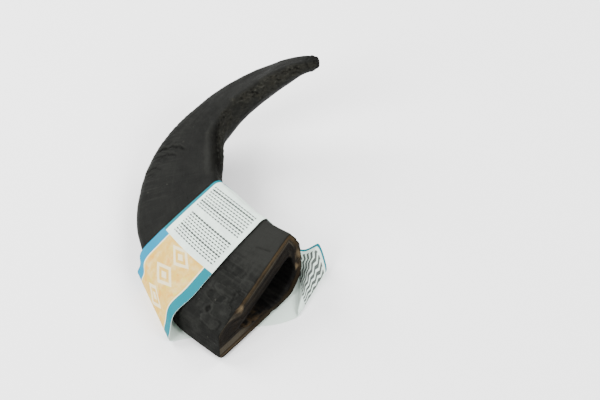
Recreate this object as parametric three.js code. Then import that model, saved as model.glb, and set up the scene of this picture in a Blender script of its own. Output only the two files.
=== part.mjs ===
// A water buffalo horn, sawn off at the base, with a loose printed paper sleeve round it.
// Millimetres, +Z up. The horn lies on the plane z = 0. Its base runs along +Y away from the
// cut, and it then curves towards +X while its tip rises.
import * as THREE from "three";

// ---------------------------------------------------------------- driving dimensions

const CUT_LEAN = 16; // degrees that the saw cut leans back from upright
const CUT_BLEND = 0.1; // where the sections first stand square to the horn, as a share of it
const HOLLOW_REACH = 0.42; // how far in the hollow's last section lies, as a share of the horn
const HOLLOW_POINT = 0.44; // and the point beyond it that closes the hollow
const HOLLOW_NARROWING = 0.8; // how much smaller the hollow's last section is
const HOLLOW_FALL = 1.6; // over 1, the hollow narrows slowly at first

// Stations along the horn, from the cut to the tip: a place on the outer edge, a place on the
// ridge, how deep the horn is below the broad face between them, and how far its section has
// gone from the base's shape (0) to the tip's (1).
const STATIONS = [
  { edge: [2, 4.5, 18.8], ridge: [75.5, 12, 44.5], depth: 35.2, tip: 0 },
  { edge: [0.8, 32, 18], ridge: [75, 35, 42], depth: 32, tip: 0.1 },
  { edge: [5, 57.5, 17.5], ridge: [76.2, 57, 40], depth: 30.2, tip: 0.26 },
  { edge: [17, 84, 16.5], ridge: [80.6, 78, 38.5], depth: 29, tip: 0.42 },
  { edge: [34, 110.5, 16], ridge: [88.6, 89, 37.5], depth: 28.6, tip: 0.55 },
  { edge: [61.5, 133, 18], ridge: [99.5, 98, 38], depth: 30, tip: 0.66 },
  { edge: [92.5, 144, 24], ridge: [113, 111, 42.6], depth: 29.2, tip: 0.76 },
  { edge: [119.5, 143.5, 31], ridge: [126, 113, 47.6], depth: 27, tip: 0.85 },
  { edge: [142.5, 136, 41], ridge: [137, 110, 54.6], depth: 23.5, tip: 0.93 },
  { edge: [161, 121.5, 53], ridge: [150.5, 103, 62.6], depth: 19.5, tip: 1 },
  { edge: [172, 108, 62.5], ridge: [161, 95.5, 69], depth: 16, tip: 1 },
  { edge: [178.3, 97, 69], ridge: [168.3, 88.5, 73], depth: 12.5, tip: 1 },
  { edge: [182.8, 85.5, 74], ridge: [176, 78.5, 77], depth: 9.5, tip: 1 },
];

// Corners of a section, once round from the outer edge. Each is [across, down, radius]: a share
// of the way to the ridge, a share of the depth, and how far from the corner its bend starts.
const BASE_SKIN = [
  [0, 0, 0.05],
  [1, 0.02, 0.05],
  [1.02, 0.38, 0.12],
  [0.885, 0.9, 0.12],
  [0.68, 1.07, 0.1],
  [-0.13, 0.42, 0.05],
];
const TIP_SKIN = [
  [0, 0.04, 0.25],
  [1, 0, 0.1],
  [1.03, 0.42, 0.25],
  [0.8, 0.92, 0.3],
  [0.38, 1.0, 0.3],
  [0.0, 0.5, 0.2],
];
const BASE_HOLLOW = [
  [0.15, 0.34, 0.03],
  [0.87, 0.36, 0.06],
  [0.88, 0.52, 0.08],
  [0.82, 0.84, 0.1],
  [0.59, 0.93, 0.1],
  [0.2, 0.5, 0.05],
];
const HOLLOW_MIDDLE = new THREE.Vector2(0.6, 0.5);
const SECTION_MIDDLE = new THREE.Vector2(0.5, 0.45);
const SIDE_STEPS = [14, 4, 5, 3, 9, 4]; // steps along the side that follows each corner
const CORNER_STEPS = 3;
const RINGS = 48; // sections along the skin
const HOLLOW_RINGS = 12;

// The broken end of the tip, as [how far on, size of the section], and the notch in it.
const TIP_END = [
  [1.6, 0.93],
  [2.8, 0.66],
];
const TIP_POINT = 3.1; // how far on the middle of the broken end lies
const NOTCH = { point: 27, deep: 0.22, round: 2.2 };

// Swellings of the skin: where along and round the horn, how high, and how far they spread.
const SWELLINGS = [
  { t: 0.5, point: 19, high: 2.2, along: 0.022, round: 2.4 },
  { t: 0.54, point: 20, high: 1.2, along: 0.02, round: 2 },
  { t: 0.46, point: 22, high: -1, along: 0.03, round: 2 },
  { t: 0.035, point: 6.5, high: 0.9, along: 0.012, round: 1.2 },
  { t: 0.02, point: 8.5, high: -0.5, along: 0.02, round: 1 },
  { t: 0.025, point: 15.5, high: 0.7, along: 0.03, round: 1.1 },
  { t: 0.045, point: 13.5, high: -0.6, along: 0.025, round: 0.9 },
];

// The sleeve, a strip of stiff paper glued into a loop that is too wide for the horn.
const PAPER_THICKNESS = 0.6;
const PAPER_CLEARANCE = 0.9; // from the horn's skin to the middle of the paper
const STRIP_STEPS = 4; // pieces from one rung to the next
const STRIP_LINES = 6; // pieces across the strip
const SKIN_STEP = 0.01; // how far on the skin's slope along the horn is taken

// ---------------------------------------------------------------- the horn

const lineThrough = (points) =>
  new THREE.CatmullRomCurve3(
    points.map((p) => new THREE.Vector3(...p)),
    false,
    "catmullrom",
  );
const edgeLine = lineThrough(STATIONS.map((s) => s.edge));
const ridgeLine = lineThrough(STATIONS.map((s) => s.ridge));
const formLine = lineThrough(STATIONS.map((s) => [s.depth, s.tip, 0]));
const tipHeading = edgeLine.getTangent(1).add(ridgeLine.getTangent(1)).normalize();

// A closed outline with its corners rounded, with the same number of points for any corners.
function outline(corners) {
  const points = [];
  const vectors = corners.map(([a, b]) => new THREE.Vector2(a, b));
  corners.forEach(([, , radius], i) => {
    const next = (i + 1) % corners.length;
    const here = vectors[i];
    const enter = vectors.at(i - 1).clone().sub(here).setLength(radius).add(here);
    const leave = vectors[next].clone().sub(here).setLength(radius).add(here);
    const nextEnter = here
      .clone()
      .sub(vectors[next])
      .setLength(corners[next][2])
      .add(vectors[next]);
    points.push(
      ...new THREE.QuadraticBezierCurve(enter, here, leave).getPoints(
        CORNER_STEPS,
      ),
    );
    for (let k = 1; k < SIDE_STEPS[i]; k++)
      points.push(leave.clone().lerp(nextEnter, k / SIDE_STEPS[i]));
  });
  return points;
}

const mixCorners = (one, other, share) =>
  one.map((corner, i) =>
    corner.map((value, k) => THREE.MathUtils.lerp(value, other[i][k], share)),
  );

// The section's own axes at t, from 0 at the cut to 1 at the tip.
const lean = THREE.MathUtils.degToRad(CUT_LEAN);
const cutAlong = new THREE.Vector3(0, Math.cos(lean), -Math.sin(lean));
function sectionAt(t) {
  const edge = edgeLine.getPoint(t);
  const across = ridgeLine.getPoint(t).sub(edge);
  const heading = edgeLine.getTangent(t).add(ridgeLine.getTangent(t));
  const along = cutAlong
    .clone()
    .lerp(heading.normalize(), THREE.MathUtils.smoothstep(t, 0, CUT_BLEND));
  const out = across.clone().cross(along).normalize();
  const form = formLine.getPoint(t);
  return { edge, across, out, depth: form.x, tip: form.y };
}

function place({ edge, across, out, depth }, point) {
  return edge
    .clone()
    .addScaledVector(across, point.x)
    .addScaledVector(out, -point.y * depth);
}

const bell = (distance, spread) => Math.exp(-((distance / spread) ** 2));
const swellingAt = (t, i) =>
  SWELLINGS.reduce(
    (sum, s) =>
      sum + s.high * bell(t - s.t, s.along) * bell(i - s.point, s.round),
    0,
  );

function skinRing(t) {
  const section = sectionAt(t);
  const corners = mixCorners(BASE_SKIN, TIP_SKIN, section.tip);
  const ring = outline(corners).map((p) => place(section, p));
  const middle = place(section, SECTION_MIDDLE);
  return ring.map((p, i) =>
    p.clone().add(p.clone().sub(middle).setLength(swellingAt(t, i))),
  );
}

function hollowRing(t, size) {
  const section = sectionAt(t);
  return outline(BASE_HOLLOW).map((p) =>
    place(section, p.lerp(HOLLOW_MIDDLE, 1 - size)),
  );
}

// One closed surface through a list of rings, with a point at each end.
function closedLoft(rings, firstPoint, lastPoint) {
  const count = rings[0].length;
  const vertices = rings.flat();
  const index = [];
  for (let r = 0; r + 1 < rings.length; r++)
    for (let i = 0; i < count; i++) {
      const a = r * count + i;
      const b = r * count + ((i + 1) % count);
      index.push(a, b, b + count, a, b + count, a + count);
    }
  const first = vertices.push(firstPoint) - 1;
  const last = vertices.push(lastPoint) - 1;
  const end = (rings.length - 1) * count;
  for (let i = 0; i < count; i++) {
    const j = (i + 1) % count;
    index.push(first, j, i, last, end + i, end + j);
  }
  const geometry = new THREE.BufferGeometry().setFromPoints(vertices);
  geometry.setIndex(index);
  geometry.computeVertexNormals();
  return geometry;
}

// The last section again, further on and smaller, with a notch that leaves two lobes.
function tipRing(onward, size) {
  const section = sectionAt(1);
  const middle = place(section, SECTION_MIDDLE);
  return skinRing(1).map((p, i) =>
    p
      .lerp(middle, 1 - size * (1 - NOTCH.deep * bell(i - NOTCH.point, NOTCH.round)))
      .addScaledVector(tipHeading, onward),
  );
}

function hornGeometry() {
  const rings = [];
  for (let k = HOLLOW_RINGS; k >= 0; k--) {
    const share = k / HOLLOW_RINGS;
    const size = 1 - HOLLOW_NARROWING * share ** HOLLOW_FALL;
    rings.push(hollowRing(share * HOLLOW_REACH, size));
  }
  for (let k = 0; k <= RINGS; k++) rings.push(skinRing(k / RINGS));
  TIP_END.forEach(([onward, size]) => rings.push(tipRing(onward, size)));
  const hollowEnd = place(sectionAt(HOLLOW_POINT), HOLLOW_MIDDLE);
  const tipEnd = place(sectionAt(1), SECTION_MIDDLE);
  tipEnd.addScaledVector(tipHeading, TIP_POINT);
  return closedLoft(rings, hollowEnd, tipEnd);
}

// ---------------------------------------------------------------- the paper sleeve

// Rungs across the strip, once round the loop: from its edge nearer the cut to its edge nearer
// the tip. Those on the horn say which point of the skin they lie over.
const RUNGS = [
  { cut: [-13, 33.5, 2.2], tip: [8.2, 82.2, 8] },
  { cut: [-10.5, 34.5, 10], tip: [11.7, 82.6, 13.5] },
  { cut: [-4, 37, 17.5], tip: [15.5, 86, 18.6] },
  { skin: 4, from: 0.093, to: 0.265 },
  { skin: 7, from: 0.091, to: 0.265 },
  { skin: 10, from: 0.089, to: 0.264 },
  { skin: 13, from: 0.085, to: 0.262 },
  { skin: 16, from: 0.079, to: 0.259 },
  { skin: 18, from: 0.076, to: 0.257 },
  { skin: 20, from: 0.074, to: 0.255 },
  { skin: 22, from: 0.072, to: 0.253 },
  { cut: [82, 24, 26], tip: [87.5, 70, 27] },
  { cut: [81.8, 15, 12], tip: [90, 55, 16] },
  { cut: [78, 5, 3.2], tip: [92, 36, 9] },
  { cut: [69, -3, 2], tip: [92.5, 17, 6.5] },
  { cut: [59.5, -9.8, 2.4], tip: [95.8, 7.5, 16.8] },
  { cut: [57.6, -11, 2.6], tip: [97, 6.2, 17.8] },
  { cut: [55.8, -12.8, 2.2], tip: [95, -1, 9] },
  { cut: [55.2, -13.6, 1.4], tip: [92.3, -4.8, 3.5] },
  { cut: [53, -13.2, 0.3], tip: [91, -3, 0.3] },
  { cut: [44, -9, 0.3], tip: [89, 8, 0.3] },
  { cut: [30, 2, 0.3], tip: [77, 24, 0.3] },
  { cut: [10, 16.5, 0.3], tip: [50, 46, 0.3] },
  { cut: [-7, 30, 0.3], tip: [15, 74.5, 0.3] },
];

function skinPoint(t, i) {
  const ring = skinRing(t);
  const here = ring[i];
  const side = ring[i + 1].clone().sub(ring.at(i - 1));
  const ahead = skinRing(t + SKIN_STEP)[i].sub(here);
  return here
    .clone()
    .addScaledVector(side.cross(ahead).normalize(), PAPER_CLEARANCE);
}

function rungPoint(rung, share) {
  if (rung.cut)
    return new THREE.Vector3(...rung.cut).lerp(
      new THREE.Vector3(...rung.tip),
      share,
    );
  return skinPoint(THREE.MathUtils.lerp(rung.from, rung.to, share), rung.skin);
}

function sleeveGeometry() {
  const count = RUNGS.length * STRIP_STEPS;
  const lines = [];
  for (let k = 0; k <= STRIP_LINES; k++) {
    const share = k / STRIP_LINES;
    const loop = new THREE.CatmullRomCurve3(
      RUNGS.map((rung) => rungPoint(rung, share)),
      true,
      "centripetal",
    );
    const points = loop.getPoints(count).slice(0, -1);
    points.forEach((p) => (p.z = Math.max(p.z, PAPER_THICKNESS / 2)));
    lines.push(points);
  }
  const sheet = lines.flat();
  const vertices = [];
  for (const side of [1, -1])
    sheet.forEach((p, n) => {
      const k = Math.floor(n / count);
      const i = n % count;
      const round = lines[k][(i + 1) % count]
        .clone()
        .sub(lines[k][(i + count - 1) % count]);
      const across = lines[Math.min(k + 1, STRIP_LINES)][i]
        .clone()
        .sub(lines[Math.max(k - 1, 0)][i]);
      const out = round.cross(across).normalize();
      const vertex = p.clone().addScaledVector(out, (side * PAPER_THICKNESS) / 2);
      vertex.z = Math.max(vertex.z, 0);
      vertices.push(vertex);
    });
  const index = [];
  const quad = (a, b, c, d) => index.push(a, b, c, a, c, d);
  const inner = sheet.length;
  for (let i = 0; i < count; i++) {
    const j = (i + 1) % count;
    for (let k = 0; k < STRIP_LINES; k++) {
      const a = k * count;
      const b = a + count;
      quad(a + i, a + j, b + j, b + i);
      quad(inner + a + i, inner + b + i, inner + b + j, inner + a + j);
    }
    const top = STRIP_LINES * count;
    quad(i, inner + i, inner + j, j);
    quad(top + i, top + j, inner + top + j, inner + top + i);
  }
  const geometry = new THREE.BufferGeometry().setFromPoints(vertices);
  geometry.setIndex(index);
  geometry.computeVertexNormals();
  return geometry;
}

const hornMaterial = new THREE.MeshStandardMaterial({
  color: 0x35322e,
  roughness: 0.5,
  metalness: 0,
});
const paperMaterial = new THREE.MeshStandardMaterial({
  color: 0xe8ead9,
  roughness: 0.7,
  metalness: 0,
});

const root = new THREE.Group();
const horn = new THREE.Mesh(hornGeometry(), hornMaterial);
horn.name = "horn";
const sleeve = new THREE.Mesh(sleeveGeometry(), paperMaterial);
sleeve.name = "paper_sleeve";
root.add(horn, sleeve);

// The origin is the middle of the footprint, on the table.
const box = new THREE.Box3().setFromObject(root);
const footprint = box.getCenter(new THREE.Vector3()).setZ(box.min.z).negate();
root.children.forEach((mesh) => mesh.geometry.translate(...footprint));

export default root;
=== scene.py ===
import math

import bmesh
import bpy
import numpy as np
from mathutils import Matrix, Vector, noise


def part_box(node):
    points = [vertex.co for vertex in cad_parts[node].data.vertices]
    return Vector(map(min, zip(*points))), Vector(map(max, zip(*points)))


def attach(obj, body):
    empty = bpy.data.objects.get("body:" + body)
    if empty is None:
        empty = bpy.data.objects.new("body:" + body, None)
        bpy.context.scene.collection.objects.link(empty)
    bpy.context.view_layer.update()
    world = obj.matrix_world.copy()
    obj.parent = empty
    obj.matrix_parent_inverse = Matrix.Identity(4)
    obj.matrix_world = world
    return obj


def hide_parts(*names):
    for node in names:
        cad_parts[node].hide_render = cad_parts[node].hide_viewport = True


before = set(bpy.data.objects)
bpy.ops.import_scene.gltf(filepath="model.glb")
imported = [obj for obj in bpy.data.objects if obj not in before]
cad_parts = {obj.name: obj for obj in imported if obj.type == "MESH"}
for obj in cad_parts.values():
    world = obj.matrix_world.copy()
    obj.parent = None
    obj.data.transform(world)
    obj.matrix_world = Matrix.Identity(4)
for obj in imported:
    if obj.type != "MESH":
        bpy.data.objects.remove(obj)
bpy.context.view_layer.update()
mm = 0.001
weldGap = 0.01 * mm


class Amount:  # a value that changes over a surface, so that shader sums read as sums
    def __init__(self, finish, socket):
        self.finish = finish
        self.socket = socket

    def __add__(self, other):
        return self.finish.maths("ADD", self, other)

    def __sub__(self, other):
        return self.finish.maths("SUBTRACT", self, other)

    def __rsub__(self, other):
        return self.finish.maths("SUBTRACT", other, self)

    def __mul__(self, other):
        return self.finish.maths("MULTIPLY", self, other)

    def __truediv__(self, other):
        return self.finish.maths("DIVIDE", self, other)

    __radd__ = __add__
    __rmul__ = __mul__


class Finish:  # one material, with the constants set on its shader first
    def __init__(self, name, **constants):
        self.material = bpy.data.materials.new(name)
        self.material.use_nodes = True
        self.tree = self.material.node_tree
        self.shader = self.tree.nodes["Principled BSDF"]
        for socket, value in constants.items():
            self.shader.inputs[socket.replace("_", " ")].default_value = value

    def node(self, kind, settings=None, inputs=None, output=0):
        made = self.tree.nodes.new(kind)
        for name, value in (settings or {}).items():
            setattr(made, name, value)
        for key, value in (inputs or {}).items():
            if isinstance(value, Amount):
                self.tree.links.new(value.socket, made.inputs[key])
            else:
                made.inputs[key].default_value = value
        return Amount(self, made.outputs[output])

    def maths(self, operation, *values):
        return self.node("ShaderNodeMath", {"operation": operation}, dict(enumerate(values)))

    def size(self, value):  # without its sign
        return self.maths("ABSOLUTE", value)

    def offMiddle(self, value):  # 0 in the middle of each repeat, 0.5 where two repeats meet
        return self.size(self.maths("FRACT", value) - 0.5)

    def attribute(self, name, output="Fac"):
        return self.node("ShaderNodeAttribute", {"attribute_name": name}, output=output)

    def sheet(self, size):  # the flat paper's own coordinates
        return self.stretch(self.node("ShaderNodeUVMap", {"uv_map": "sheet"}), size)

    def axis(self, vector, letter):
        return self.node("ShaderNodeSeparateXYZ", {}, {0: vector}, letter)

    def stretch(self, vector, by):
        return self.node("ShaderNodeVectorMath", {"operation": "MULTIPLY"}, {0: vector, 1: by})

    def shift(self, vector, by):
        return self.node("ShaderNodeVectorMath", {"operation": "ADD"}, {0: vector, 1: by})

    def cloud(self, vector, scale, detail=3.0, rough=0.55, warp=0.0):
        values = {"Vector": vector, "Scale": scale, "Detail": detail, "Roughness": rough}
        values["Distortion"] = warp
        return self.node("ShaderNodeTexNoise", {"noise_dimensions": "3D"}, values)

    def step(self, value, low, high):  # 0 below low, 1 above high, smooth between
        values = {"Value": value, "From Min": low, "From Max": high}
        return self.node("ShaderNodeMapRange", {"interpolation_type": "SMOOTHSTEP"}, values)

    def band(self, value, low, high, soft):  # 1 between low and high
        begins = self.step(value, low - soft, low + soft)
        return begins * (1 - self.step(value, high - soft, high + soft))

    def mix(self, share, first, second):
        values = {0: share, 6: first, 7: second}
        return self.node("ShaderNodeMix", {"data_type": "RGBA"}, values, output=2)

    def bump(self, height, distance, strength):
        values = {"Height": height, "Distance": distance, "Strength": strength}
        return self.node("ShaderNodeBump", {}, values)

    def feed(self, **links):
        for socket, value in links.items():
            self.tree.links.new(value.socket, self.shader.inputs[socket.replace("_", " ")])
        return self.material


def only(piece):
    bpy.ops.object.select_all(action="DESELECT")
    piece.hide_set(False)
    piece.select_set(True)
    bpy.context.view_layer.objects.active = piece


def editAll(piece):  # edit mode, with all of the piece selected
    only(piece)
    bpy.ops.object.mode_set(mode="EDIT")
    bpy.ops.mesh.select_mode(type="VERT")
    bpy.ops.mesh.select_all(action="SELECT")


def editSome(piece, kind, chosen):  # edit mode, with some edges or polygons selected
    editAll(piece)
    bpy.ops.mesh.select_mode(type={"edges": "EDGE", "polygons": "FACE"}[kind])
    bpy.ops.mesh.select_all(action="DESELECT")
    bpy.ops.object.mode_set(mode="OBJECT")
    getattr(piece.data, kind).foreach_set("select", np.asarray(chosen, bool))
    bpy.ops.object.mode_set(mode="EDIT")


def doneEditing():
    bpy.ops.object.mode_set(mode="OBJECT")


def copyOfNode(node, name):  # a welded copy of a solid, to work on
    piece = bpy.data.objects.new(name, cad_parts[node].data.copy())
    bpy.context.scene.collection.objects.link(piece)
    piece.data.name = name
    piece.data.materials.clear()
    editAll(piece)
    bpy.ops.mesh.remove_doubles(threshold=weldGap)
    bpy.ops.mesh.customdata_custom_splitnormals_clear()
    doneEditing()
    return piece


def smooth(piece, **settings):
    only(piece)
    smoother = piece.modifiers.new("smooth", "SUBSURF")
    smoother.levels = smoother.render_levels = 2
    for name, value in settings.items():
        setattr(smoother, name, value)
    bpy.ops.object.modifier_apply(modifier=smoother.name)


def places(piece):
    found = np.empty(len(piece.data.vertices) * 3)
    piece.data.vertices.foreach_get("co", found)
    return found.reshape(-1, 3) / mm


def put(piece, points):
    piece.data.vertices.foreach_set("co", (points * mm).ravel())
    piece.data.update()


def putWithin(piece, points, node):  # no point goes out of the solid's own box
    low, high = np.array(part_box(node)) / mm
    put(piece, np.clip(points, low, high))


def normals(piece):
    return np.array([v.normal for v in piece.data.vertices])


def remember(piece, name, values):  # an attribute on the points, for the materials
    kind, key = ("FLOAT_VECTOR", "vector") if values.ndim == 2 else ("FLOAT", "value")
    attribute = piece.data.attributes.new(name, kind, "POINT")
    attribute.data.foreach_set(key, values.astype(np.float32).ravel())


def lumps(points, size, octaves=3, seed=0.0):  # uneven, about -1 to 1, with lumps of that size
    shift = Vector((seed, seed * 0.7, -seed))
    return np.array(
        [noise.fractal(Vector(p) / size + shift, 0.8, 2.0, octaves) for p in points]
    )


def rise(value, low, high):
    share = np.clip((value - low) / (high - low), 0, 1)
    return share * share * (3 - 2 * share)


def bell(value, spread):
    return np.exp(-((value / spread) ** 2))


def length(vectors):
    return np.linalg.norm(vectors, axis=-1)


def unit(vectors):
    return vectors / length(vectors)[..., None]


view = {
    "aim": (0.02547, -0.0308, 0.02768),
    "turned": -48.7,  # degrees
    "raised": 50.0,
    "away": 0.921,
    "lens": 85,
}
camera = bpy.data.objects.new("camera", bpy.data.cameras.new("camera"))
bpy.context.scene.collection.objects.link(camera)
bpy.context.scene.camera = camera
turned, raised = math.radians(view["turned"]), math.radians(view["raised"])
level = math.cos(raised)
gaze = Vector((-math.sin(turned) * level, math.cos(turned) * level, -math.sin(raised)))
camera.location = Vector(view["aim"]) - gaze * view["away"]
camera.rotation_euler = gaze.to_track_quat("-Z", "Y").to_euler()
camera.data.lens = view["lens"]
camera.data.sensor_width = 36
print("camera is up")


horn = {
    # the path from the saw cut to the tip in mm: outer edge, ridge, depth below them
    "stations": [
        ((2, 4.5, 18.8), (75.5, 12, 44.5), 35.2),
        ((0.8, 32, 18), (75, 35, 42), 32),
        ((5, 57.5, 17.5), (76.2, 57, 40), 30.2),
        ((17, 84, 16.5), (80.6, 78, 38.5), 29),
        ((34, 110.5, 16), (88.6, 89, 37.5), 28.6),
        ((61.5, 133, 18), (99.5, 98, 38), 30),
        ((92.5, 144, 24), (113, 111, 42.6), 29.2),
        ((119.5, 143.5, 31), (126, 113, 47.6), 27),
        ((142.5, 136, 41), (137, 110, 54.6), 23.5),
        ((161, 121.5, 53), (150.5, 103, 62.6), 19.5),
        ((172, 108, 62.5), (161, 95.5, 69), 16),
        ((178.3, 97, 69), (168.3, 88.5, 73), 12.5),
        ((182.8, 85.5, 74), (176, 78.5, 77), 9.5),
    ],
    "moved": (-84.93, -64.6, 0.08),
    "slices": 360,
    "cutLean": 16,  # degrees
    "breadth": 74.0,  # of the broad face, which sizes the marks on it
    "grainAcross": 45.0,  # and what grain and colour patterns take for it
    "grainDown": 30.0,
    "hollowSeed": (-38.0, -50.0, 12.0),  # a place on the wall inside
    # where the skin's mesh is finer: along from and to, across from and to, down to
    "fineZones": [
        (100, 158, -1, 0.62, 0.16),  # the folded bend
        (-5, 26, -1, 2, 0.25),  # the broad face by the cut
        (100, 243, 0.78, 2, 0.75),  # the flaky inner face
    ],
    "unevenness": 0.3,
    "fibre": 0.10,
    "combing": 0.16,
    "ridging": 0.13,
    # folds in the skin across the bend: along, from, to, deep, wide, bow
    "folds": [
        (137.0, 0.13, 0.58, 1.25, 0.72, 3.2),
        (132.6, 0.13, 0.48, 0.95, 0.6, 2.2),
        (141.0, 0.22, 0.44, 0.45, 0.55, 1.0),
        (129.0, 0.17, 0.38, 0.4, 0.5, 3.5),
        (125.2, 0.10, 0.30, 0.45, 0.5, 0.5),
        (121.3, 0.07, 0.31, 1.15, 0.72, 3.0),
        (117.2, 0.09, 0.25, 0.9, 0.6, 0.8),
        (112.6, 0.07, 0.22, 0.6, 0.55, 2.4),
        (108.0, 0.06, 0.16, 0.4, 0.5, 1.0),
        (146.2, 0.14, 0.30, 0.35, 0.5, 2.8),
        (134.7, 0.22, 0.50, 0.4, 0.45, 2.6),
        (127.0, 0.12, 0.36, 0.4, 0.45, 1.8),
        (119.1, 0.08, 0.28, 0.4, 0.45, 2.0),
        (114.8, 0.08, 0.24, 0.35, 0.4, 1.2),
        (143.6, 0.16, 0.38, 0.3, 0.45, 2.2),
    ],
    # broken steps on the broad face by the cut: along, across, long, wide, high
    "ledges": [
        (9.0, 0.17, 8.0, 5.5, 0.75),
        (3.5, 0.31, 4.5, 6.0, -0.7),
        (15.0, 0.34, 10.0, 3.5, 0.45),
        (4.5, 0.46, 5.0, 4.0, 0.5),
        (19.0, 0.25, 7.0, 3.5, -0.5),
        (12.0, 0.06, 8.0, 3.5, 0.4),
        (22.0, 0.52, 14.0, 3.0, -0.25),
    ],
    "knot": (17.5, 0.14, 2.8, 0.5),  # along, across, size, high
    "crack": ((16.0, 0.765), (4.5, 0.79), 0.3),  # both ends along and across, deep
    "groove": 0.35,  # beside the ridge where the bend turns over
    "stringy": 0.35,  # the wall of the hollow
    "sawSteps": (0.4, 0.35),  # between layers of the sawn wall: how uneven, and how much stays flat
    "rimWear": (0.12, 0.10),  # of the sawn rim: how much, and how uneven
    "flakes": 0.42,
    "pits": 0.25,
    "tipStart": 240.0,
    "tipRing": (248.4, 0.3),  # along, deep
    "tipBroken": 0.4,
    "tipRadius": 5.3,
    "tipDome": 2.1,
    "tipTuck": 1.3,
    # where the sawn wall is pale: across, down, size, how pale
    "paleBits": [
        (0.94, 0.56, 4.2, 0.75),
        (0.86, 0.72, 2.4, 1.05),
        (0.26, 0.08, 4.2, 0.6),
        (0.29, 0.12, 2.2, 0.6),
        (0.55, 0.02, 4.0, 0.3),
        (0.75, 0.03, 4.0, 0.35),
    ],
    # bits broken off the sawn rim: across, down, size, deep
    "chips": [
        (0.99, 0.30, 2.6, 0.8),
        (0.92, 0.70, 2.6, 0.6),
        (0.62, 0.02, 2.4, 0.3),
        (0.36, 0.0, 2.8, 0.35),
        (0.24, 0.02, 3.0, 0.6),
        (-0.12, 0.42, 2.2, 0.3),
        (0.45, 0.88, 2.6, 0.5),
        (0.70, 0.98, 2.2, 0.4),
    ],
    "keratin": {
        "dark": (0.0020, 0.0021, 0.0020, 1),
        "grey": (0.0135, 0.0138, 0.0124, 1),
        "dust": (0.070, 0.070, 0.058, 1),
        "brown": (0.0235, 0.0225, 0.0175, 1),
        # black is painted shade, for the creases, the hollows between flakes and the inner face
        # where it comes out of the sleeve
        "black": (0.0012, 0.0012, 0.0010, 1),
    },
    "sawnWall": {
        "black": (0.0030, 0.0024, 0.0019, 1),
        "grey": (0.0095, 0.0082, 0.0064, 1),
        "umber": (0.0155, 0.0102, 0.0052, 1),
        "brown": (0.030, 0.0200, 0.0095, 1),
        "dun": (0.036, 0.0305, 0.0215, 1),
        "tan": (0.082, 0.060, 0.034, 1),
        "pale": (0.25, 0.17, 0.08, 1),
    },
    "hollowWall": {
        "black": (0.0010, 0.0009, 0.0009, 1),
        "grey": (0.0080, 0.0078, 0.0068, 1),
        "brown": (0.024, 0.0155, 0.0075, 1),
        "tan": (0.070, 0.046, 0.022, 1),
    },
}


def smoothLine(points, count):
    points = np.array(points, float).reshape(len(points), -1)
    padded = np.vstack([2 * points[0] - points[1], points, 2 * points[-1] - points[-2]])
    where = np.linspace(0, len(points) - 1, count)
    k = np.minimum(where.astype(int), len(points) - 2)
    f = (where - k)[:, None]
    a, b, c, d = padded[k], padded[k + 1], padded[k + 2], padded[k + 3]
    return (
        b
        + 0.5 * f * (c - a)
        + f**2 * (a - 2.5 * b + 2 * c - 0.5 * d)
        + f**3 * (1.5 * b - 0.5 * a - 1.5 * c + 0.5 * d)
    )


class Straightened:  # where a point is along, across and down the horn, as if it were straight
    def __init__(self, path):
        count = path["slices"]
        edges, ridges, depths = zip(*path["stations"])
        self.edge = smoothLine(edges, count) + path["moved"]
        self.across = smoothLine(ridges, count) + path["moved"] - self.edge
        self.depth = smoothLine(depths, count)[:, 0]
        edgeHeading = unit(np.gradient(self.edge, axis=0))
        ridgeHeading = unit(np.gradient(self.edge + self.across, axis=0))
        lean = math.radians(path["cutLean"])
        self.cutAlong = np.array([0, math.cos(lean), -math.sin(lean)])
        share = rise(np.linspace(0, 1, count), 0, 0.1)[:, None]  # the first tenth leaves the cut
        self.along = unit(self.cutAlong * (1 - share) + unit(edgeHeading + ridgeHeading) * share)
        self.out = unit(np.cross(self.across, self.along))
        self.middle = self.edge + self.across * 0.5 - self.out * (self.depth * 0.45)[:, None]
        self.length = np.append(0, np.cumsum(length(np.diff(self.middle, axis=0))))

    def of(self, points):
        atOnce = 4000  # points, to spare memory
        farOff = 1e6
        found = []
        for start in range(0, len(points), atOnce):
            part = points[start : start + atOnce]
            fromMiddle = part[:, None] - self.middle
            ahead = np.einsum("nki,ki->nk", fromMiddle, self.along)
            far = length(fromMiddle)
            crossing = (ahead[:, :-1] >= 0) & (ahead[:, 1:] < 0)
            k = np.where(crossing, far[:, :-1], farOff + far[:, :-1]).argmin(1)
            rows = np.arange(len(part))
            here, after = ahead[rows, k], ahead[rows, k + 1]
            f = np.where(crossing[rows, k], here / np.maximum(here - after, 1e-9), 0)
            past = np.where(crossing[rows, k], 0, np.clip(here, -5, 5))
            fromEdge = part - self.edge[k]
            across = np.einsum("ni,ni->n", fromEdge, self.across[k]) / length(self.across[k]) ** 2
            down = -np.einsum("ni,ni->n", fromEdge, self.out[k]) / self.depth[k]
            along = self.length[k] + f * (self.length[k + 1] - self.length[k]) + past
            found.append(np.column_stack([along, across, down]))
        return np.vstack(found)

    def onCut(self, side, low):  # a place on the sawn face
        return self.edge[0] + self.across[0] * side - self.out[0] * self.depth[0] * low


straightened = Straightened(horn)


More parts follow.
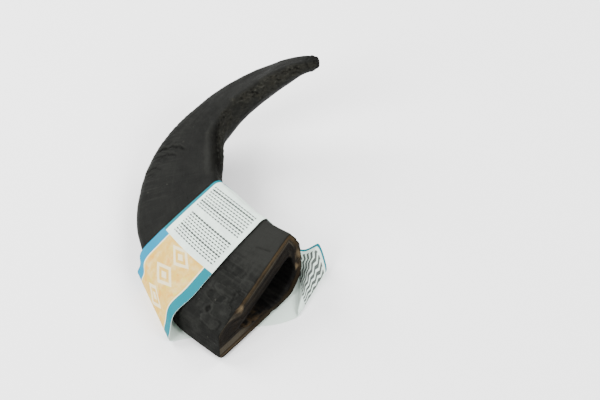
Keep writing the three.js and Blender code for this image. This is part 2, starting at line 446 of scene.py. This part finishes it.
def keratinFinish():
    look = horn["keratin"]
    f = Finish("keratin", Specular_IOR_Level=0.015)
    where = f.attribute("straight", "Vector")
    fibres = f.cloud(f.stretch(where, (0.03, 0.6, 0.6)), 1.0, 4, 0.6, 0.8)
    rings = f.cloud(f.stretch(where, (1.25, 0.05, 0.05)), 1.0, 3, 0.6, 0.4)
    patches = f.cloud(where, 0.045, 3, 0.55)
    blotches = f.cloud(f.shift(where, (9, 4, 70)), 0.2, 5, 0.62)
    grain = f.cloud(where, 2.2, 4, 0.65)
    pores = f.cloud(f.shift(where, (30, 3, 8)), 1.1, 2, 0.5)
    inner = f.attribute("innerFace")
    flaking = f.attribute("flaking")
    along = f.attribute("along")
    width = f.axis(where, "Y")
    base = 1 - f.step(along, 24, 60)
    # painted light: the broad face by the ridge at the base, and the outer edge of the bend, are
    # painted paler
    paintedRidgeLight = base * f.step(width, 20, 42)
    paintedEdgeHighlight = f.step(along, 75, 120) * (1 - f.step(width, 0, 8))

    # black to grey, with painted light: paler on the broad face by the ridge at the base, along the
    # outer edge of the bend, on raised lips and brows, and on the peaks of the flaky inner face
    tone = 0.26 + f.step(fibres, 0.4, 0.75) * (0.1 + base * 0.22)
    tone = tone + f.step(patches, 0.38, 0.7) * 0.2
    tone = tone + f.step(blotches, 0.42, 0.72) * (0.15 + base * 0.35)
    tone = tone + f.step(grain, 0.4, 0.7) * (0.1 + inner * 0.4)
    tone = tone + paintedRidgeLight * 0.85 + paintedEdgeHighlight * 0.9 + f.attribute("paintedLightMarks") * 0.35
    # painted light: the peaks of the flakes are painted paler
    tone = tone + inner * f.step(flaking + (grain - 0.5) * 0.9, -0.4, 0.4) * 1.1
    colour = f.mix(tone, look["dark"], look["grey"])

    # growth rings combed across the bend
    bend = f.step(along, 85, 115) * (1 - f.step(along, 165, 205)) * (1 - f.step(width, 14, 26))
    combed = 0.12 + bend * 0.5 + inner * (1 - f.step(along, 195, 215)) * 0.4
    colour = f.mix(f.step(rings, 0.48, 0.62) * combed, colour, look["grey"])

    # the flaky inner face is browner, with painted shade where it comes out of the sleeve
    colour = f.mix(inner * (0.3 + f.step(blotches, 0.45, 0.7) * 0.45), colour, look["brown"])
    colour = f.mix(inner * (1 - f.step(along, 112, 150)) * 0.75, colour, look["black"])
    # painted shade: black in the hollows between the flakes, and in the creases and grooves
    paintedHollowShade = (1 - f.step(flaking + (grain - 0.5), -0.75, -0.3)) * 0.6
    colour = f.mix(paintedHollowShade + f.attribute("creases") * 0.9, colour, look["black"])

    specks = f.node("ShaderNodeTexVoronoi", {}, {"Vector": where, "Scale": 0.11}, "Distance")
    dust = (1 - f.step(specks, 0.04, 0.075)) * f.step(grain, 0.45, 0.6) * 0.6
    dust = dust + inner * f.step(flaking + (grain - 0.5) * 2.2, 0.25, 0.9) * 0.5
    colour = f.mix(dust, colour, look["dust"])
    rough = 0.32 + patches * 0.16 + grain * 0.12 + inner * 0.3
    height = fibres * (0.2 + base * 0.35) + rings * 0.25 + grain * (0.25 + inner * 1.6)
    height = height - f.step(pores, 0.62, 0.75) * (0.3 + inner * 0.8)
    return f.feed(Base_Color=colour, Roughness=rough, Normal=f.bump(height, 0.5 * mm, 0.9))


def sawnFinish():
    look = horn["sawnWall"]
    f = Finish("sawnWall", Specular_IOR_Level=0.025)
    where = f.attribute("straight", "Vector")
    depth = f.attribute("toSkin")  # mm below the skin
    side = f.axis(where, "Y")
    low = f.axis(where, "Z")

    def layered(pitch, slow):  # coordinates drawn out along the layers
        stretched = {0: depth * (1 / pitch), 1: side * slow, 2: low * slow}
        return f.node("ShaderNodeCombineXYZ", {}, stretched)

    layers = f.cloud(layered(2.4, 0.05), 1.0, 4, 0.55, 0.4)
    fine = f.cloud(layered(0.9, 0.2), 1.0, 4, 0.65, 0.3)
    patch = f.cloud(f.shift(where, (0, 31, 12)), 0.1, 3, 0.5)
    grit = f.cloud(where, 1.9, 4, 0.7)
    wander = depth + (layers - 0.5) * 2.0 + (grit - 0.5) * 0.8
    upper = f.step(side, 10, 20) * (1 - f.step(low, 6, 14))  # the wall under the broad face
    colour = f.mix(f.step(layers, 0.35, 0.65), look["black"], look["grey"])
    colour = f.mix(f.step(fine, 0.5, 0.72) * 0.6, colour, look["umber"])
    browned = f.band(wander, 0.3, 3.4, 0.5) * (0.3 + upper * 0.6) * f.step(patch, 0.26, 0.5)
    colour = f.mix(browned, colour, look["brown"])
    colour = f.mix(f.band(wander, 1.2, 1.8, 0.3) * upper * 0.2, colour, look["tan"])
    colour = f.mix(f.band(wander, 3.9, 4.9, 0.4) * upper * 0.75, colour, look["dun"])

    # the layers show most in the narrow corner
    corner = 1 - f.step(side, 5, 13)
    bedded = depth + (layers - 0.5) * 1.2 + (fine - 0.5) * 0.4
    colour = f.mix(corner * f.band(bedded, 3.2, 7.4, 0.5) * 0.95, colour, look["dun"])
    colour = f.mix(corner * f.band(bedded, 2.3, 3.2, 0.3) * 0.8, colour, look["umber"])
    colour = f.mix(corner * f.band(bedded, 1.1, 1.9, 0.3) * 0.45, colour, look["tan"])

    # pale bits, and the black skin round all
    glow = f.attribute("paleBits") * 0.9 + (layers - 0.5) * 0.9
    glow = glow + (fine - 0.5) * 0.5 + (grit - 0.5) * 0.3
    colour = f.mix(f.step(glow, 0.25, 0.75) * 0.75, colour, look["tan"])
    colour = f.mix(f.step(glow, 0.85, 1.1) * 0.8, colour, look["pale"])
    colour = f.mix((1 - f.step(wander, 0.1, 0.6)) * 0.85, colour, look["black"])
    height = layers * 0.6 + fine * 0.6 + grit * 0.6
    rough = 0.42 + grit * 0.3
    return f.feed(Base_Color=colour, Roughness=rough, Normal=f.bump(height, 0.6 * mm, 0.9))


def hollowFinish():
    look = horn["hollowWall"]
    f = Finish("hollowWall", Specular_IOR_Level=0.04)
    where = f.attribute("straight", "Vector")
    strings = f.cloud(f.stretch(where, (0.05, 0.5, 0.5)), 1.0, 5, 0.6, 0.3)
    spots = f.cloud(where, 0.35, 4, 0.65)
    grain = f.cloud(where, 1.6, 4, 0.6)
    width = f.axis(where, "Y")
    along = f.attribute("along")
    corner = (1 - f.step(width, 13, 21)) * (1 - f.step(along, 4, 16))  # the narrow end, stained
    lip = 1 - f.step(along + spots * 1.5, 0.8, 2.2)
    colour = f.mix(f.step(strings, 0.3, 0.85), look["black"], look["grey"])
    colour = f.mix((corner + lip * 0.5) * f.step(spots, 0.44, 0.6) * 0.8, colour, look["brown"])
    colour = f.mix(corner * f.step(spots, 0.62, 0.72) * 0.6, colour, look["tan"])
    height = strings * 0.6 + grain * 0.4 + spots * 0.4
    rough = 0.5 + grain * 0.3
    return f.feed(Base_Color=colour, Roughness=rough, Normal=f.bump(height, 0.6 * mm, 0.9))


def cutAndHollow(mesh):  # which of its three finishes each face of the horn takes
    centres = np.array([f.center for f in mesh.polygons]) / mm
    facing = np.array([f.normal for f in mesh.polygons])
    fromCut = (centres - straightened.edge[0]) @ straightened.cutAlong
    onCut = (facing @ -straightened.cutAlong > 0.995) & (np.abs(fromCut) < 0.2)
    fromSeed = np.where(onCut, np.inf, length(centres - horn["hollowSeed"]))
    solid = bmesh.new()
    solid.from_mesh(mesh)
    solid.faces.ensure_lookup_table()
    inHollow = np.zeros(len(centres), bool)
    waiting = [solid.faces[int(fromSeed.argmin())]]
    while waiting:  # spreads over the wall inside as far as the cut
        face = waiting.pop()
        if inHollow[face.index] or onCut[face.index]:
            continue
        inHollow[face.index] = True
        waiting += [other for edge in face.edges for other in edge.link_faces]
    solid.free()
    print("cut faces", onCut.sum(), "hollow faces", inHollow.sum())
    return np.where(onCut, cutSlot, np.where(inHollow, hollowSlot, skinSlot))


def whereSlotsMeet(mesh):  # the edges with a different finish on each side
    slots = {}
    for face in mesh.polygons:
        for key in face.edge_keys:
            slots.setdefault(key, set()).add(face.material_index)
    return [len(slots[key]) > 1 for key in mesh.edge_keys]


def onSlot(mesh, slot):
    found = np.empty(len(mesh.polygons), int)
    mesh.polygons.foreach_get("material_index", found)
    return found == slot


class Relief:  # how far each point is lifted, with painted shade in its creases and painted light on its lips and brows
    def __init__(self, count):
        self.lift = np.zeros(count)
        self.creases = np.zeros(count)
        self.paintedLight = np.zeros(count)

    def add(self, lift, crease=0, paintedLight=0):
        self.lift = self.lift + lift
        self.creases = np.maximum(self.creases, crease)
        self.paintedLight = self.paintedLight + paintedLight


def refine(piece, chosen):
    editSome(piece, "polygons", chosen)
    bpy.ops.mesh.subdivide(number_cuts=1)
    doneEditing()


skinSlot, cutSlot, hollowSlot = range(3)
hornPiece = copyOfNode("horn", "buffalo_horn")
mesh = hornPiece.data
for material in (keratinFinish(), sawnFinish(), hollowFinish()):
    mesh.materials.append(material)
editAll(hornPiece)
bpy.ops.mesh.tris_convert_to_quads(
    face_threshold=math.radians(60), shape_threshold=math.radians(100)
)
doneEditing()
print("horn copied:", len(mesh.polygons), "faces")

# creases at both rims keep the saw cut crisp
mesh.polygons.foreach_set("material_index", cutAndHollow(mesh))
editSome(hornPiece, "edges", whereSlotsMeet(mesh))
bpy.ops.transform.edge_crease(value=1)
doneEditing()
smooth(hornPiece)
print("horn smoothed:", len(mesh.polygons), "faces")

# a finer mesh where the small forms are, and over the saw cut
middles = np.array([f.center for f in mesh.polygons]) / mm
along, across, down = straightened.of(middles).T
inZone = np.zeros(len(middles), bool)
for start, end, near, far, deep in horn["fineZones"]:
    inZone |= (along > start) & (along < end) & (across > near) & (across < far) & (down < deep)
refine(hornPiece, onSlot(mesh, skinSlot) & inZone)
refine(hornPiece, onSlot(mesh, cutSlot))
print("horn refined:", len(mesh.polygons), "faces")

points = places(hornPiece)
outward = normals(hornPiece)
along, across, down = straightened.of(points).T
straight = np.column_stack([along, across * horn["grainAcross"], down * horn["grainDown"]])
touches = np.zeros((3, len(points)), bool)
for face in mesh.polygons:
    touches[face.material_index, list(face.vertices)] = True
skin, sawn, inside = touches
outerRim = skin & sawn
innerRim = inside & sawn

# how far a place on the cut is below the skin that its layers grew from, and where it is pale
upperRim = outerRim & (down < 0.06)
narrowSide = (across < 0.02) & (down < 0.42)  # the layers run into it
lowerRim = outerRim & ~upperRim & ~narrowSide
nearCut = along < 14
toSkin = np.full((2, len(points)), 99.0)
for rim, far in zip((points[upperRim], points[lowerRim]), toSkin):
    far[nearCut] = length(points[nearCut][:, None] - rim).min(1)
toSkin = np.minimum(toSkin[0] + 7 * (1 - rise(across, 0.1, 0.28)), toSkin[1])
paleBits = np.zeros(len(points))
for side, low, size, pale in horn["paleBits"]:
    away = length(points - straightened.onCut(side, low))
    paleBits += pale * bell(away + 0.8 * lumps(points, 3, 2, side * 7), size)

# the skin all over: unevenness, fibres along it, and growth rings combed across the bend
relief = Relief(len(points))
broad = rise(0.22 - down, 0, 0.15) * (across > -0.1)
relief.add(horn["unevenness"] * lumps(points, 16, 3, 2.0))
fibres = lumps(straight * (0.05, 1.0, 1.0), 1.5, 3, 5.0)
relief.add(horn["fibre"] * fibres * (1 - rise(along, 60, 100) * 0.7))
comb = np.sin(along * 2.3 + 2.5 * lumps(straight, 9, 2, 3.0) - across * 4)
onBend = rise(along, 90, 125) * (1 - rise(along, 175, 215))
relief.add(horn["combing"] * comb * rise(0.42 - across, 0, 0.3) * onBend * broad)

# each fold is a broken crease with a raised lip on the tip's side, the crease darkened with painted
# shade and the lip painted paler as a highlight
for at, start, end, deep, wide, bow in horn["folds"]:
    share = np.clip((across - start) / (end - start), 0, 1)
    wander = 1.5 * lumps(np.column_stack([across * 40, along * 0.15, along * 0]), 5, 3, at)
    fromFold = along - (at + bow * (4 * share * (1 - share) - 0.5) + wander)
    ends = rise(across, start - 0.04, start + 0.06) * (1 - rise(across, end - 0.1, end + 0.03))
    gaps = lumps(np.column_stack([across * 40, along * 0, along * 0 + at]), 5, 2, at)
    held = ends * (0.45 + 0.55 * rise(gaps, -0.35, 0.25)) * broad
    crease = bell(fromFold, wide) * held
    lip = bell(fromFold - 1.9 * wide, wide * 1.2) * held
    relief.add(deep * (0.4 * lip - crease), 0.9 * min(1, deep) * crease, 1.3 * deep * lip)

# ledges stand up or lie low, with painted shade at the foot and a painted highlight at the brow;
# raised tops are painted paler and sunken ones darker
for at, side, long, wide, high in horn["ledges"]:
    u = (along - at) / long + 0.35 * lumps(straight * (0.5, 1, 1), 4.5, 3, at + side)
    v = (across - side) * horn["breadth"] / wide
    v = v + 0.45 * lumps(straight * (0.4, 1, 1), 4.5, 3, at - side)
    inset = 1 - (np.abs(u) ** 3 + np.abs(v) ** 3) ** (1 / 3)  # 0 round the ledge, 1 in the middle
    top = rise(inset, 0.0, 0.14) * broad
    foot, brow = (0, 0.16) if high > 0 else (0.14, 0)
    relief.add(
        high * top,
        0.28 * bell(inset - foot, 0.05) * broad,
        0.4 * np.sign(high) * top + 0.9 * bell(inset - brow, 0.06) * broad,
    )
ridges = lumps(straight * (0.07, 1.0, 1.0), 1.3, 2, 15.0)
relief.add(horn["ridging"] * ridges * (1 - rise(along, 22, 45)) * broad)

# a knot with a raised collar, with painted shade round its pit and painted light on the collar
at, side, size, high = horn["knot"]
away = np.hypot(along - at, (across - side) * horn["breadth"]) + 0.5 * lumps(straight, 3, 2, 9.0)
collar = bell(away - size, 0.9) * broad
pit = bell(away, size * 0.55) * broad
relief.add(
    high * (collar - 1.2 * pit), 0.7 * bell(away - size * 0.5, 0.6) * broad, 1.2 * collar
)

# a crack that runs in from the cut, with painted shade along it
(farEnd, farSide), (nearEnd, nearSide), deep = horn["crack"]
share = np.clip((along - nearEnd) / (farEnd - nearEnd), 0, 1)
offCrack = (across - (nearSide + (farSide - nearSide) * share)) * horn["breadth"]
offCrack = offCrack + 0.25 * lumps(straight, 6, 2, 4.0)
away = np.hypot(offCrack, np.minimum(along - nearEnd, 0) + np.maximum(along - farEnd, 0))
relief.add(-deep * bell(away, 0.5) * broad, 0.55 * bell(away, 0.4) * broad)

# a ridge where the bend turns over, painted paler along its top as a highlight, and the groove
# beside it, sunk and darkened with painted shade
torn = 0.07 * lumps(points, 6, 3, 6.0)
turning = rise(along, 100, 122) * rise(0.3 - down, 0, 0.2)
groove = rise(across + 0.4 * torn, 0.90, 0.98) * turning * (1 - rise(along, 158, 178))
ridgeHighlight = bell(across + 0.3 * torn - 0.865, 0.03) * turning * (1 - rise(along, 148, 170))
relief.add(-horn["groove"] * groove, 0.75 * groove, 1.1 * ridgeHighlight)

# the inner face flakes, and the tip is broken
innerFace = rise(across + torn, 0.84, 0.98) * rise(along, 84, 130) * rise(down + torn, -0.02, 0.14)
flakes = lumps(points * (1, 1, 1.4), 2.2, 4, 7.0)
pits = rise(lumps(points, 1.8, 2, 8.0), 0.15, 0.45)
relief.add(innerFace * (horn["flakes"] * flakes - horn["pits"] * pits))
atTip = along > horn["tipStart"]
tipEnd = rise(along, 246, 250.5)
broken = lumps(points, 1.7, 4, 11.0)
ringAt, ringDeep = horn["tipRing"]
ring = bell(along + 0.9 * broken - ringAt, 0.6) * atTip
# the ring round the tip is sunk, and darkened with painted shade
relief.add(tipEnd * horn["tipBroken"] * broken - ringDeep * ring, 0.6 * ring)
# flaking is the height of the flakes and of the broken tip; the skin's colour paints light on its
# peaks and shade in its hollows
flaking = innerFace * (flakes * 0.9 - pits * 0.35) * (1 - tipEnd) + tipEnd * broken * 0.6
moved = outward * (relief.lift * (skin & ~sawn))[:, None]

# the tip ends in a low dome, tucked in round its shoulder
heading = straightened.along[-1]
fromTip = points - straightened.middle[-1]
ahead = fromTip @ heading
sideways = fromTip - np.outer(ahead, heading)
offAxis = length(sideways)
towardsRim = np.minimum(offAxis / horn["tipRadius"], 1)
dome = horn["tipDome"] * np.sqrt(1 - towardsRim**2)
onDome = rise(ahead, -0.2, 0.6) * atTip
moved += heading * ((dome - ahead) * onDome)[:, None]
shoulder = rise(ahead, -2.6, 0.8) * towardsRim**2 * atTip
moved -= sideways * (horn["tipTuck"] * shoulder / np.maximum(offAxis, 1))[:, None]

# the wall inside is stringy, and the sawn wall has low steps between its layers
stringy = lumps(straight * (0.12, 1.0, 1.0), 2.4, 3, 21.0)
moved += outward * (horn["stringy"] * stringy * (inside & ~sawn))[:, None]
uneven, flatShare = horn["sawSteps"]
sawSteps = uneven * lumps(np.column_stack([toSkin, across * 5, down * 4]), 2.2, 3, 31.0) - flatShare
onWall = sawn & ~outerRim & ~innerRim
moved -= straightened.cutAlong * (np.minimum(sawSteps, 0) * onWall)[:, None]

# chips and wear along the sawn rim
wear, uneven = horn["rimWear"]
soft = wear + uneven * lumps(points, 4.0, 3, 41.0)
inward = unit(straightened.middle[0] - points)
moved += straightened.cutAlong * (soft * (outerRim | innerRim))[:, None]
moved += inward * (soft * outerRim * 0.8)[:, None]
for side, low, size, deep in horn["chips"]:
    away = length(points - straightened.onCut(side, low)) + 0.7 * lumps(points, 2.0, 3, side * 9)
    bite = deep * rise(size - away, 0, size * 0.6) * (along < 12) * (skin | sawn)
    moved += (straightened.cutAlong * 0.8 + inward * 0.6) * bite[:, None]

remember(hornPiece, "straight", straight)
remember(hornPiece, "along", along)
remember(hornPiece, "toSkin", toSkin)
remember(hornPiece, "paleBits", paleBits)
remember(hornPiece, "innerFace", innerFace)
remember(hornPiece, "creases", relief.creases)
remember(hornPiece, "paintedLightMarks", relief.paintedLight)
remember(hornPiece, "flaking", flaking)
putWithin(hornPiece, points + moved, "horn")
bpy.ops.object.shade_smooth()
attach(hornPiece, "root")
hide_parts("horn")
print("horn finished")


sleeve = {
    "thick": 0.32,  # mm, as all lengths that follow
    "inset": 0.1,  # of the printed side, from the solid strip's own
    "beginNear": (-40.0, -27.0, 31.0),  # on the free edge, where the strip lies square
    "joinNear": (-54.9, -62.6, 0.4),  # where the strip's ends meet, under the horn
    "wide": 48.0,
    "stockLight": (0.60, 0.71, 0.63, 1),
    "stockDark": (0.52, 0.60, 0.55, 1),
    "tan": (0.50, 0.31, 0.055, 1),
    "tanDeep": (0.52, 0.22, 0.015, 1),
    "tanGreen": (0.46, 0.42, 0.035, 1),
    "cream": (0.56, 0.44, 0.18, 1),
    "sky": (0.0, 0.150, 0.250, 1),
    "teal": (0.0, 0.115, 0.145, 1),
    "paleMotif": (0.60, 0.56, 0.38, 1),
    "ink": (0.010, 0.011, 0.012, 1),
    # where the coloured panel ends, round the strip, at its two free edges
    "panelToCut": 166.5,
    "panelToTip": 176.0,
    "panelEnd": 270.0,
    "bow": 2.0,
    # the rows of small diamonds, counted round the strip
    "rowSlant": 0.17,
    "slantFrom": 120.0,
    "rowPitch": 1.9,
    "dotPitch": 2.6,
    "firstRows": (66.0, 75.0),
    "secondRows": (77.0, 86.0),
    "boldEvery": 5.0,
    # the rippled bars
    "barPitch": 3.2,
    "ripple": 4.2,
    "barsRound": (32, 58),
    "barsOver": (10, 43),
    "lozengePitch": 15.0,
    # the borders along the free edges
    "borderCut": 6.6,
    "borderTip": 6.2,
    "stripe": 2.3,
    "pale": 0.8,
}


def sidesOf(solid):  # its faces in groups that no sharp edge parts
    sharp = [e for e in solid.edges if e.calc_face_angle(0) > math.radians(55)]
    bmesh.ops.split_edges(solid, edges=sharp)
    left = set(solid.faces)
    sides = []
    while left:
        waiting = [left.pop()]
        side = []
        while waiting:
            face = waiting.pop()
            side.append(face)
            linked = {other for edge in face.edges for other in edge.link_faces} & left
            left -= linked
            waiting += linked
        sides.append(side)
    print("sides of the strip:", sorted(len(side) for side in sides))
    return sides


def openness(side):  # above 0 where its faces look away from its middle
    middle = sum((f.calc_center_median() for f in side), Vector()) / len(side)
    return sum((f.calc_center_median() - middle).dot(f.normal) * f.calc_area() for f in side)


def onRim(edge):
    return len(edge.link_faces) == 1


def walkRound(first):  # along the strip's free edge, back to where it began
    line = [first]
    while True:
        ahead = [e.other_vert(line[-1]) for e in line[-1].link_edges if onRim(e)]
        ahead = [v for v in ahead if v not in line]
        if not ahead:
            return line
        line.append(min(ahead, key=lambda v: v.co.x))


def linesOf(sheet):  # its points in rows round the horn, from one free edge to the other
    begin = Vector(sleeve["beginNear"]) * mm
    rim = [v for v in sheet.verts if any(onRim(e) for e in v.link_edges)]
    lines = [walkRound(min(rim, key=lambda v: (v.co - begin).length))]
    seen = set(lines[0])
    while len(seen) < len(sheet.verts):
        beside = [{e.other_vert(v) for e in v.link_edges} - seen for v in lines[-1]]
        nearest = min(beside[0], key=lambda v: (v.co - lines[-1][0].co).length)
        following = [nearest]
        for choices in beside[1:]:
            before = {e.other_vert(following[-1]) for e in following[-1].link_edges}
            following.append(next(iter(choices & before - set(following))))
        lines.append(following)
        seen.update(following)
    return np.array([[v.co for v in line] for line in lines])


def printFinish():
    f = Finish("printedPaper", Specular_IOR_Level=0.06)
    wide = sleeve["wide"]
    flat = f.sheet((sleeve["long"], wide, 0.0))
    u = f.axis(flat, "X")  # mm round the strip
    v = f.axis(flat, "Y")  # mm from its free edge by the cut
    mottle = f.cloud(flat, 0.13, 4, 0.6)
    blots = f.cloud(f.shift(flat, (50, 9, 0)), 0.2, 3, 0.55)
    leaves = f.cloud(f.shift(flat, (7, 80, 0)), 0.16, 3, 0.55)
    pulp = f.cloud(flat, 2.2, 3, 0.6)
    handling = f.cloud(flat, 0.05, 3, 0.6)
    slope = (sleeve["panelToTip"] - sleeve["panelToCut"]) / wide
    bow = v * (wide - v) * (sleeve["bow"] * 4 / wide**2)
    panel = f.step(u + bow - v * slope - sleeve["panelToCut"], -0.15, 0.15)
    panel = panel * (1 - f.step(u, sleeve["panelEnd"], sleeve["panelEnd"] + 0.3))

    # white panel: rows of small diamonds in two blocks, and a block of rippled bars
    slant = f.maths("MAXIMUM", u - sleeve["slantFrom"], 0) * v * (sleeve["rowSlant"] / wide)
    row = (u + bow - slant) / sleeve["rowPitch"]
    number = f.maths("FLOOR", row)
    offRow = f.offMiddle(row) * sleeve["rowPitch"]
    offDot = f.offMiddle(v / sleeve["dotPitch"] + number * 0.5) * sleeve["dotPitch"]
    bold = f.maths("COMPARE", f.maths("MODULO", number, sleeve["boldEvery"]), 2.0, 0.1)
    dots = 1 - f.step(offRow + offDot * 0.4 - bold * 0.2, 0.5, 0.62)
    blocks = f.band(row, *sleeve["firstRows"], 0.01) * f.band(v, 3.5, 43.5, 0.1)
    blocks = blocks + f.band(row, *sleeve["secondRows"], 0.01) * f.band(v, 3.5, 41.5, 0.1)
    rippled = f.maths("PINGPONG", v, sleeve["ripple"]) * 0.35 + u
    bars = 1 - f.step(f.offMiddle(rippled / sleeve["barPitch"]), 0.27, 0.32)
    bars = bars * f.band(u, *sleeve["barsRound"], 0.1) * f.band(v, *sleeve["barsOver"], 0.1)
    white = f.mix(f.step(mottle, 0.35, 0.7), sleeve["stockDark"], sleeve["stockLight"])
    white = f.mix(dots * blocks * 0.95 + bars * 0.9, white, sleeve["ink"])
    stripe = wide - sleeve["stripe"]
    white = f.mix(f.step(v, stripe, stripe + 0.15), white, sleeve["teal"])

    # coloured panel: mottled ground, pale lozenges, and a border along each side
    ground = f.mix(f.step(mottle, 0.42, 0.7) * 0.8, sleeve["tan"], sleeve["cream"])
    ground = f.mix(f.step(blots, 0.52, 0.7) * 0.6, ground, sleeve["tanDeep"])
    ground = f.mix(f.step(leaves, 0.56, 0.72) * 0.6, ground, sleeve["tanGreen"])
    pitch = sleeve["lozengePitch"]
    lozenge = f.offMiddle((u - 2.0) / pitch) * (pitch * 1.35) + f.size(v - wide / 2) * 0.85
    motif = f.band(lozenge, 5.6, 8.4, 0.15) + (1 - f.step(lozenge, 2.6, 2.9))
    ground = f.mix(motif * f.step(pulp, 0.2, 0.45) * 0.8, ground, sleeve["paleMotif"])
    low, high = sleeve["borderCut"], wide - sleeve["borderTip"]
    between = f.band(v, low + sleeve["pale"], high - sleeve["pale"], 0.1)
    ground = f.mix(1 - between, ground, sleeve["paleMotif"])
    ground = f.mix(1 - f.step(v, low - 0.1, low + 0.1), ground, sleeve["teal"])
    ground = f.mix(f.step(v, high - 0.1, high + 0.1), ground, sleeve["sky"])
    return f.feed(
        Base_Color=f.mix(panel, white, ground),
        Roughness=0.38 + handling * 0.2 + pulp * 0.06,
        Normal=f.bump(pulp + handling * 2, 0.08 * mm, 0.6),
    )


def bareFinish():
    f = Finish("barePaper", Roughness=0.8, Specular_IOR_Level=0.3)
    pulp = f.cloud(f.sheet((sleeve["long"], sleeve["wide"], 0.0)), 1.8, 4, 0.6)
    colour = f.mix(pulp, sleeve["stockDark"], sleeve["stockLight"])
    return f.feed(Base_Color=colour, Normal=f.bump(pulp, 0.06 * mm, 0.5))


# the outer side of the solid strip gives the lines that the paper lies along
pattern = copyOfNode("paper_sleeve", "strip_pattern")
solid = bmesh.new()
solid.from_mesh(pattern.data)
outer = max(sidesOf(solid), key=openness)
others = list(set(solid.faces) - set(outer))
bmesh.ops.delete(solid, geom=others, context="FACES")
bmesh.ops.remove_doubles(solid, verts=solid.verts, dist=weldGap)
print("outer side of the strip:", len(outer), "faces")
strip = linesOf(solid)
solid.free()
bpy.data.objects.remove(pattern)
join = length(strip[0] / mm - sleeve["joinNear"]).argmin()
strip = np.roll(strip, -join, axis=1)
rows, columns = strip.shape[:2]
middleLine = strip[rows // 2]
paces = length(np.roll(middleLine, -1, axis=0) - middleLine)
sleeve["long"] = float(paces.sum() / mm)
shareRound = np.append(0, np.cumsum(paces)) / paces.sum()
print("strip:", rows, "lines of", columns, "points,", round(sleeve["long"]), "mm round")

# a flat grid is laid on those lines, and its ends are joined
bpy.ops.object.select_all(action="DESELECT")
bpy.ops.mesh.primitive_grid_add(x_subdivisions=columns, y_subdivisions=rows - 1, size=1)
sleevePiece = bpy.context.object
mesh = sleevePiece.data
sleevePiece.name = mesh.name = "printed_sleeve"
flat = np.array([v.co for v in mesh.vertices]) + 0.5
column = np.rint(flat[:, 0] * columns).astype(int)
row = np.rint(flat[:, 1] * (rows - 1)).astype(int)
put(sleevePiece, strip[row, column % columns] / mm)
mesh.uv_layers[0].name = "sheet"
for loop, uv in zip(mesh.loops, mesh.uv_layers[0].data):
    corner = loop.vertex_index
    uv.uv = (shareRound[column[corner]], row[corner] / (rows - 1))
editAll(sleevePiece)
bpy.ops.mesh.remove_doubles(threshold=weldGap)
doneEditing()
middle = Vector(places(sleevePiece).mean(0) * mm)
if sum((f.center - middle).dot(f.normal) * f.area for f in mesh.polygons) < 0:
    mesh.flip_normals()

# smoothed, moved in to where the printed side lies, and given its thickness inwards
smooth(sleevePiece, boundary_smooth="PRESERVE_CORNERS")
put(sleevePiece, places(sleevePiece) - normals(sleevePiece) * sleeve["inset"])
for material in (printFinish(), bareFinish()):
    mesh.materials.append(material)
thicken = sleevePiece.modifiers.new("thicken", "SOLIDIFY")
thicken.thickness = sleeve["thick"] * mm
thicken.offset = -1
thicken.material_offset = thicken.material_offset_rim = 1
bpy.ops.object.modifier_apply(modifier=thicken.name)
bpy.ops.object.shade_smooth_by_angle(angle=math.radians(50))
putWithin(sleevePiece, places(sleevePiece), "paper_sleeve")
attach(sleevePiece, "root")
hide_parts("paper_sleeve")
print("sleeve finished")


studio = {
    "floor": (0.9, 0.9, 0.9, 1),
    "floorShade": (0.84, 0.84, 0.84, 1),
    "floorSize": 6.0,
    "sky": 0.6,
    # name, place, size, watts
    "lamps": [
        ("back", (-0.15, 1.15, 0.9), 0.9, 42.0),
        ("left", (-1.1, 0.25, 0.9), 0.8, 34.0),
        ("front", (0.15, -1.25, 0.95), 0.8, 30.0),
        ("right", (1.2, 0.0, 0.9), 0.9, 24.0),
    ],
}


def floorFinish():
    f = Finish("floor", Roughness=0.9, Specular_IOR_Level=0.1)
    soft = f.cloud(f.node("ShaderNodeTexCoord", output="Object"), 6, 2, 0.5)
    return f.feed(Base_Color=f.mix(soft * 0.2, studio["floor"], studio["floorShade"]))


bpy.ops.object.select_all(action="DESELECT")
bpy.ops.mesh.primitive_plane_add(size=studio["floorSize"], location=(0, 0, 0))
floor = bpy.context.object
floor.name = "floor"
floor.data.materials.append(floorFinish())
for name, place, size, watts in studio["lamps"]:
    lamp = bpy.data.lights.new(name, "AREA")
    lamp.shape = "DISK"
    lamp.size = size
    lamp.energy = watts
    holder = bpy.data.objects.new(name, lamp)
    bpy.context.scene.collection.objects.link(holder)
    holder.location = place
    holder.rotation_euler = (-Vector(place)).to_track_quat("-Z", "Y").to_euler()
world = bpy.data.worlds.new("studio")
world.use_nodes = True
background = world.node_tree.nodes["Background"]
background.inputs["Color"].default_value = (1, 1, 1, 1)
background.inputs["Strength"].default_value = studio["sky"]
bpy.context.scene.world = world
print("studio lit")
